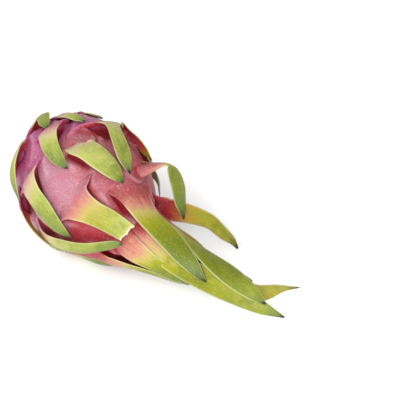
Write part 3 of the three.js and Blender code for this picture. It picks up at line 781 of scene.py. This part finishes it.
def lay(scale, line, row, side, seed):
    """Places for points given by row and side (-1 to 1), and the sheet's thickness there."""
    t, half, last = line["t"][row], line["half"][row], line["t"][-1]
    horn = smooth(HORN_FROM, 1, np.abs(side)) * smooth(*HORN_FADE, t)
    size = scale["stations"][1][3] * np.where(side < 0, *scale.get("horns", (1, 1)))
    spread = HORN_START + HORN_GROWTH * np.maximum(1 - t, 0)
    reach = half * side + np.sign(side) * horn * size * spread
    run = np.where(t < LIP_AT, scale.get("run", LIP_RUN_BEFORE), LIP_RUN_AFTER)
    lip = (scale.get("flare", 0) + LIP_RISE) * side**6 * hump(t, LIP_AT, run)
    root, radius = on_root(scale, line, row, side, horn, reach, lip)
    free = smooth(*FREED, t)
    wrap = np.minimum(half**2 / (2 * radius), DEEPEST_WRAP * half)
    widest = max(station[3] for station in scale["stations"])
    curl = scale.get("cup", CUP) * np.minimum(half / (FULL_CURL * widest), 1)
    waves = WAVE_HEIGHT * np.sin(t * WAVE_TURNS + seed + side) * np.abs(side) ** 3 * free
    rise = lip + waves - (wrap * (1 - free) + curl * free) * side**2
    blade = line["centre"][row] + line["across"][row] * reach[:, None]
    blade = blade + line["facing"][row] * rise[:, None]
    thin = side**4
    if scale.get("broken"):
        pulled = torn(side) * smooth(last - TEAR_LENGTH, last, t)
        blade = blade + line["pointing"][row] * pulled[:, None]
    else:
        thin = np.maximum(thin, smooth(last - TIP_THINS, last, t))
    leaves_at = LEAVES_AT + scale.get("hold", 0) * (1 + side) / 2
    share = smooth(0, LEAVES_OVER, t - leaves_at)[:, None]
    middle = ROOT_THICKNESS + (BLADE_THICKNESS - ROOT_THICKNESS) * smooth(*MIDDLE_THINS, t)
    edge = LIP_THICKNESS + (EDGE_THICKNESS - LIP_THICKNESS) * smooth(*EDGE_THINS, t)
    thickness = middle + (edge - middle) * thin
    return root * (1 - share) + blade * share, thickness

# %% [markdown]
# ## Cushions and hollows on the skin, and the flat belly
#
# Each scale sits on a low cushion of rind that rises towards its root. Under the blade the rind falls
# away into a hollow, and a ridge runs forward from each corner of the root on both sides of it. So the
# skin is never quite smooth. Vertex groups hold how far each corner rises or sinks, and Displace
# modifiers move it. The rind is painted deep crimson in the hollows and between crowded scales, partly
# its own red and partly painted shade, so this blush and shade is kept on the mesh as an attribute for
# the finish. The ridges carry a paler tint the same way, partly pale lines and partly a painted
# highlight. At the end everything below the table is scaled flat onto it.

# %% Cushions, ridges and hollows
CUSHION_HEIGHT, RIDGE_HEIGHT, HOLLOW_DEPTH, FILLING = 1.9, 1.4, 2.8, 7.28  # mm
CUSHION_LENGTH, CUSHION_DROP = 26, 7  # mm: reach towards the stem, drop under the blade
CUSHION_WIDTH, CUSHION_SPREAD = 1.15, 0.02  # of the root's half width, more for each mm towards the stem
RIDGE_OUT, RIDGE_WIDTH = 4.5, 2.2  # mm outside the blade's edge
RIDGE_RISES, RIDGE_ENDS = (-2, 3), (18, 8)  # mm forward of the root
HOLLOW_STARTS, HOLLOW_ENDS = (0.5, 4), (26, 13)  # mm forward of the root
HOLLOW_WALL, BLUSH_AND_SHADE_FADE = 3, 5  # mm


def around(scale, corners):
    """How far each corner is on the scale's cushion, ridges, hollow, blush and filling, from 0 to 1;
    the blush is partly the rind's own crimson and partly painted shade.

    The hollow follows the blade's middle line on the skin, as wide as the blade is there.
    """
    line = middle_line(scale)
    under = on_skin(line["along"], line["turn"], 0 * line["lift"])[STEPS:]
    ahead = unit(under[1] - under[0])
    offset = corners - under[0]
    forward = offset @ ahead
    aside = np.linalg.norm(offset - forward[:, None] * ahead, axis=1)
    root_half = line["half"][STEPS]
    reach = np.where(forward > 0, CUSHION_DROP, CUSHION_LENGTH)
    spread = root_half * (CUSHION_WIDTH + CUSHION_SPREAD * np.maximum(-forward, 0))
    cushion = scale.get("cushion", 1) * np.exp(-((forward / reach) ** 2) - (aside / spread) ** 4)
    gaps = np.linalg.norm(corners[:, None] - under, axis=2)
    nearest = gaps.argmin(axis=1)
    outside = gaps.min(axis=1) - line["half"][STEPS:][nearest]
    travelled = np.linalg.norm(under[nearest] - under[0], axis=1)
    ridge = hump(outside, RIDGE_OUT, RIDGE_WIDTH)
    ridge = ridge * smooth(*RIDGE_RISES, forward) * smooth(*RIDGE_ENDS, travelled)
    under_blade = smooth(*HOLLOW_STARTS, forward) * smooth(*HOLLOW_ENDS, travelled)
    brink = scale.get("brink", 0.5)
    hollow = smooth(brink, brink - HOLLOW_WALL, outside) * under_blade
    brink += scale.get("blush", 1)
    blush = smooth(brink, brink - BLUSH_AND_SHADE_FADE, outside) * under_blade
    return cushion, ridge, hollow, blush, scale.get("filled", 0) * hollow


# crimson blush and painted shade between crowded scales: distance along the skin, turn and radius
BLUSH_AND_SHADE_SPOTS = [(78, -5, 11), (88, -14, 10), (117, -44, 12), (130, -32, 15), (108, -72, 14)]
BLUSH_AND_SHADE_STRENGTH, BLUSH_AND_SHADE_CORE = 0.8, 0.3


def blush_and_shade_at(corners, apart_from=None):
    """How much crimson the rind takes at each corner, from 0 to 1: partly its own red, partly painted
    shade.
    """
    blush = [around(scale, corners)[3] for scale in SCALES.values() if scale is not apart_from]
    for along, turn, radius in BLUSH_AND_SHADE_SPOTS:
        away = np.linalg.norm(corners - on_skin(along, turn, 0), axis=1)
        blush.append(BLUSH_AND_SHADE_STRENGTH * smooth(radius, BLUSH_AND_SHADE_CORE * radius, away))
    return np.max(blush, axis=0)


corners = np.array([corner.co for corner in body.data.vertices]) * 1000 - SHIFT
cushion, ridge, hollow, _, filled = np.max([around(scale, corners) for scale in SCALES.values()], axis=0)
height = CUSHION_HEIGHT * cushion + RIDGE_HEIGHT * ridge - HOLLOW_DEPTH * hollow + FILLING * filled


def weigh(piece, name, shares):
    """Makes a vertex group with a share from 0 to 1 at each corner."""
    group = piece.vertex_groups.new(name=name)
    for index, share in enumerate(shares):
        group.add([index], float(share), "REPLACE")


for name, amount, direction in (("raised", height, 1), ("sunken", -height, -1)):
    most = amount.max()
    weigh(body, name, np.maximum(amount, 0) / most)
    modify(body, "DISPLACE", vertex_group=name, strength=direction * most / 1000, mid_level=0)


def carry(mesh, name, values):
    """Writes a number for each corner of the mesh, for the finish to read."""
    mesh.attributes.new(name, "FLOAT", "POINT").data.foreach_set("value", np.asarray(values, np.float32))


# Crimson in the hollows and between crowded scales: partly the rind's own red, partly painted shade.
carry(body.data, "blush", blush_and_shade_at(corners))
# Paler ridges: partly pale lines, partly a painted highlight.
carry(body.data, "ridge", ridge * (1 - hollow))
print("the skin rises", round(height.max(), 1), "mm and sinks", round(-height.min(), 1), "mm")

# %% The flat belly
def select_parts(kind, parts, wanted):
    """Selects in edit mode those corners or faces of the active piece that pass a test."""
    bpy.ops.object.mode_set(mode="EDIT")
    bpy.ops.mesh.select_mode(type=kind)
    bpy.ops.mesh.select_all(action="DESELECT")
    bpy.ops.object.mode_set(mode="OBJECT")
    for part in parts:
        part.select = wanted(part)
    bpy.ops.object.mode_set(mode="EDIT")


pick(body)
select_parts("VERT", body.data.vertices, lambda corner: corner.co.z < 0)
bpy.ops.transform.resize(value=(1, 1, 0), center_override=(0, 0, 0))
bpy.ops.object.mode_set(mode="OBJECT")
print("the belly lies at", round(1000 * min(corner.co.z for corner in body.data.vertices), 2), "mm")

# %% [markdown]
# ## Laying the sheets
#
# Now each sheet is laid on its path. Its corners also take the numbers that its finish reads, worked out
# from how far along and across the flat grid each corner is.

# %% Make one scale
COLUMNS = 16
ROOT_TINTED, ROOT_FADE = 0.6, (1, 0.5)  # stations: how much longer the horns keep the skin's colour
TIP_LENGTH, TIP_GREEN = 0.4, 1.05  # stations of a tip that are dark, how green it counts
LEAN_AT, RIM_AT, CORNER_HIGHLIGHT_AT = (2, 1.2), (1.8, 1.1), (2, 0.7)  # stations: where it is strongest, its spread
HORNS_BEGIN, RIM_BEGINS, CORNER_HIGHLIGHT_BEGINS = (0.7, 1), (0.6, 1), (0.3, 0.8)  # across the sheet
SEED_STEP = 3.7  # how far apart two scales take their streaks
BLUSH_AND_SHADE_ENDS = (3, 1.5)  # stations over which the root's crimson blush and painted shade fade
OLIVE_FADES, OLIVE_LOST = (0.6, 0.95), 0.6  # of a leaf's length, and how much of its deeper green goes
TORN_LENGTH = 0.035  # of a broken blade's length
LEAST_HEIGHT = 0.0001  # m: nothing on a scale goes through the table


def greenness(scale, line, row, side):
    """How far the scale has greened at points given by row and side, and -1 where it is still skin."""
    t, last = line["t"][row], line["t"][-1]
    tip = 0 if scale.get("broken") else smooth(last - TIP_LENGTH, last, t)
    # One edge greener than the other: partly the blade's own tone, partly painted shade.
    lean = scale.get("lean", 0) * side * hump(t, *LEAN_AT)
    rim = scale.get("rim", 0) * smooth(*RIM_BEGINS, -side) * hump(t, *RIM_AT)
    green = (line["green"][row] + lean + rim) * (1 - tip) + TIP_GREEN * tip
    return green - smooth(*ROOT_FADE, t - ROOT_TINTED * smooth(*HORNS_BEGIN, np.abs(side)))


def make_scale(name, scale, seed):
    line = middle_line(scale)
    rows = len(line["t"]) - 1
    deselect()
    bpy.ops.mesh.primitive_grid_add(x_subdivisions=COLUMNS, y_subdivisions=rows, size=2)
    piece = bpy.context.object
    piece.name = name.replace("scale", "bract").replace("leaf", "frond")
    mesh = piece.data
    corners = np.array([corner.co for corner in mesh.vertices])
    side, length = corners[:, 0], (corners[:, 1] + 1) / 2
    row = np.rint(length * rows).astype(int)
    points, thickness = lay(scale, line, row, side, seed)
    mesh.vertices.foreach_set("co", placed(points).ravel())
    t = line["t"][row]
    deep = scale.get("olive", 1 if name.startswith("tuft") else 0)
    torn_end = scale.get("broken", False) * smooth(1 - TORN_LENGTH, 1, length)
    carry(mesh, "green", greenness(scale, line, row, side))
    carry(mesh, "olive", deep * (1 - OLIVE_LOST * smooth(*OLIVE_FADES, length)))
    # Crimson on the root where it lies in a hollow: partly its own red, partly painted shade.
    carry(mesh, "blush", blush_and_shade_at(points, scale) * smooth(*BLUSH_AND_SHADE_ENDS, t))
    # A painted highlight on the left corner where the root leaves the skin.
    carry(mesh, "pale", scale.get("pale", 0) * smooth(*CORNER_HIGHLIGHT_BEGINS, -side) * hump(t, *CORNER_HIGHLIGHT_AT))
    carry(mesh, "side", side)
    carry(mesh, "length", line["along"][row] - line["along"][0])
    carry(mesh, "seed", np.full(len(row), SEED_STEP * seed))
    carry(mesh, "torn", torn_end)
    weigh(piece, "thickness", thickness / ROOT_THICKNESS)
    mesh.materials.append(outer_finish)
    mesh.materials.append(inner_finish)
    modify(
        piece, "SOLIDIFY", thickness=ROOT_THICKNESS / 1000, offset=-1, vertex_group="thickness",
        material_offset=1, material_offset_rim=0,
    )
    rounded(piece)
    for corner in mesh.vertices:
        corner.co.z = max(corner.co.z, LEAST_HEIGHT)
    return piece


scales = {name: make_scale(name, scale, seed) for seed, (name, scale) in enumerate(SCALES.items())}
print(sum(len(piece.data.polygons) for piece in scales.values()), "faces on the scales")

# %% [markdown]
# ## The stem stub and the withered flower
#
# Two small woody things end the fruit. At the stem dimple a stub of the branch is left where the fruit
# was cut off: a short cylinder with a sunken pith in its cut face. Deep inside the tuft the flower has
# dried to a brown pleated wick, drawn ring by ring along the bending axis like the body, with every
# second row of corners pulled in for the pleats.

# %% Woody finishes
def woody(name, light, dark, size, stretch):
    finish = Finish(name)
    place = finish.node("TexCoord", output="Object")
    fibres = finish.node("Mapping", inputs={"Vector": place, "Scale": (1 / stretch, 1, 1)})
    grain = finish.noise(fibres, size, 4, 0.65).between(0.3, 0.7)
    clouds = finish.noise(place, 0.003, 3).between(0.35, 0.65)
    tint = finish.mix(light, dark, grain * 0.7 + clouds * 0.3)
    return finish.surface(
        Base_Color=tint,
        Roughness=0.7 + grain * 0.2,
        Normal=finish.bump(grain, 0.6, 0.0006),
        Specular_IOR_Level=0.2,
    )


bark_finish = woody("bark", colour(150, 142, 82), colour(92, 84, 48), size=0.0009, stretch=6)
pith_finish = woody("pith", colour(206, 196, 148), colour(160, 142, 96), size=0.0007, stretch=1)
withered_finish = woody("withered", colour(142, 106, 62), colour(58, 38, 22), size=0.0008, stretch=8)
print("bark, pith and withered petals")

# %% Stem stub
STEM_TO, STEM_RADIUS, STEM_SIDES = 3.2, 5.4, 24
PITH_RADIUS, PITH_DEPTH, PITH_WALL, PITH_RING, CUT_BEVEL = 3.6, 0.5, 0.3, 1.8, 0.5

deselect()
bpy.ops.mesh.primitive_cylinder_add(
    vertices=STEM_SIDES, radius=STEM_RADIUS / 1000, depth=(STEM_TO - STEM_FROM) / 1000,
    location=placed([(STEM_TO + STEM_FROM) / 2, 0, 0]), rotation=(0, math.pi / 2, 0),
)
stem = bpy.context.object
stem.name = "cut_stalk"
settle(stem)
stem.data.materials.append(bark_finish)
stem.data.materials.append(pith_finish)
select_parts("FACE", stem.data.polygons, lambda face: face.normal.x < -0.9)
bpy.ops.mesh.inset(thickness=CUT_BEVEL / 1000)
bpy.ops.mesh.inset(thickness=(STEM_RADIUS - PITH_RADIUS - CUT_BEVEL) / 1000)
stem.active_material_index = 1
bpy.ops.object.material_slot_assign()
bpy.ops.mesh.inset(thickness=PITH_WALL / 1000, depth=-PITH_DEPTH / 1000)
bpy.ops.mesh.inset(thickness=PITH_RING / 1000)
bpy.ops.mesh.select_all(action="SELECT")
bpy.ops.mesh.subdivide(number_cuts=1)
bpy.ops.object.mode_set(mode="OBJECT")
rounded(stem)
print(len(stem.data.polygons), "faces on the stem stub")

# %% Withered flower
FLOWER_PROFILE = [
    (160, 5.2), (163, 5.8), (167, 5.6), (171, 5.2), (175, 4.7), (179, 4.3), (183, 3.9), (187, 3.5),
    (191, 3.2), (195, 2.8), (198, 2.4), (200.5, 1.8), (202, 0.9),
]  # mm along the straight axis, radius
PLEATS, PLEAT_DEPTH, WRINKLE = 11, 1.1, 0.4

flower = grown("withered_flower", FLOWER_PROFILE, 2 * PLEATS)
face_outwards()
select_parts("VERT", flower.data.vertices, lambda corner: corner.index % 2 == 0)
bpy.ops.transform.shrink_fatten(value=-PLEAT_DEPTH / 1000)
bpy.ops.mesh.select_all(action="SELECT")
bpy.ops.transform.vertex_random(offset=WRINKLE / 1000, seed=3)
select_open_edges()
bpy.ops.mesh.edge_face_add()
face_outwards()
bpy.ops.object.mode_set(mode="OBJECT")
rounded(flower)
flower.data.materials.append(withered_finish)
print(len(flower.data.polygons), "faces on the withered flower")

# %% [markdown]
# ## The floor, the light and the camera
#
# A plain pale floor and wide soft lights show a waxy rind best: a key light from above, and a fill
# beside the camera that lightens the hollows. The camera looks down on the fruit from its tuft end.

# %% Floor and light
floor_finish = Finish("floor")
deselect()
bpy.ops.mesh.primitive_plane_add(size=6, location=(0, 0, 0))
floor = bpy.context.object
floor.name = "floor"
place = floor_finish.node("TexCoord", output="Object")
shade = floor_finish.noise(place, 0.3, 2).between(0.2, 0.8)
floor.data.materials.append(floor_finish.surface(
    Base_Color=floor_finish.mix((0.94, 0.94, 0.94, 1), (0.92, 0.92, 0.925, 1), shade), Roughness=0.8,
))

world = bpy.data.worlds.new("studio")
world.use_nodes = True
sky = world.node_tree.nodes["Background"]
sky.inputs["Color"].default_value = (1, 1, 1, 1)
sky.inputs["Strength"].default_value = 0.82
bpy.context.scene.world = world
bpy.context.scene.view_settings.view_transform = "Standard"


def softbox(name, location, target, size, power):
    light = bpy.data.lights.new(name, "AREA")
    light.shape, light.size, light.energy = "SQUARE", size, power
    lamp = bpy.data.objects.new(name, light)
    bpy.context.scene.collection.objects.link(lamp)
    lamp.location = location
    lamp.rotation_euler = (Vector(location) - Vector(target)).to_track_quat("Z", "Y").to_euler()


FRUIT_MIDDLE = (0, 0, 0.04)
softbox("key", (-0.1, -0.65, 0.72), FRUIT_MIDDLE, size=0.6, power=3.4)
softbox("fill", (0.6, -0.35, 0.5), FRUIT_MIDDLE, size=0.6, power=8.5)
print("two softboxes and a white sky")

# %% Camera
CAMERA_PLACE = np.array([678.16, -319.95, 571.24])  # in the fruit's own millimetres
CAMERA_BACK = (0.6351, -0.4284, 0.6428)
LENS, SENSOR = 110.96, 36  # mm

camera = bpy.data.objects.new("camera", bpy.data.cameras.new("camera"))
bpy.context.scene.collection.objects.link(camera)
camera.data.lens, camera.data.sensor_width = LENS, SENSOR
turn = Vector(CAMERA_BACK).to_track_quat("Z", "Y").to_matrix().to_4x4()
camera.matrix_world = Matrix.Translation((CAMERA_PLACE + SHIFT) / 1000) @ turn
bpy.context.scene.camera = camera
print("the camera stands at", [round(length, 2) for length in camera.matrix_world.translation])

# %% [markdown]
# ## Hand over
#
# Each piece says which CAD node it stands for, and rides on the fruit.

# %% Hand over
PIECES = {"fruit_body": body, "stem_stub": stem, "dried_flower": flower, **scales}
for node, piece in PIECES.items():
    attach(piece, "root")
    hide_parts(node)
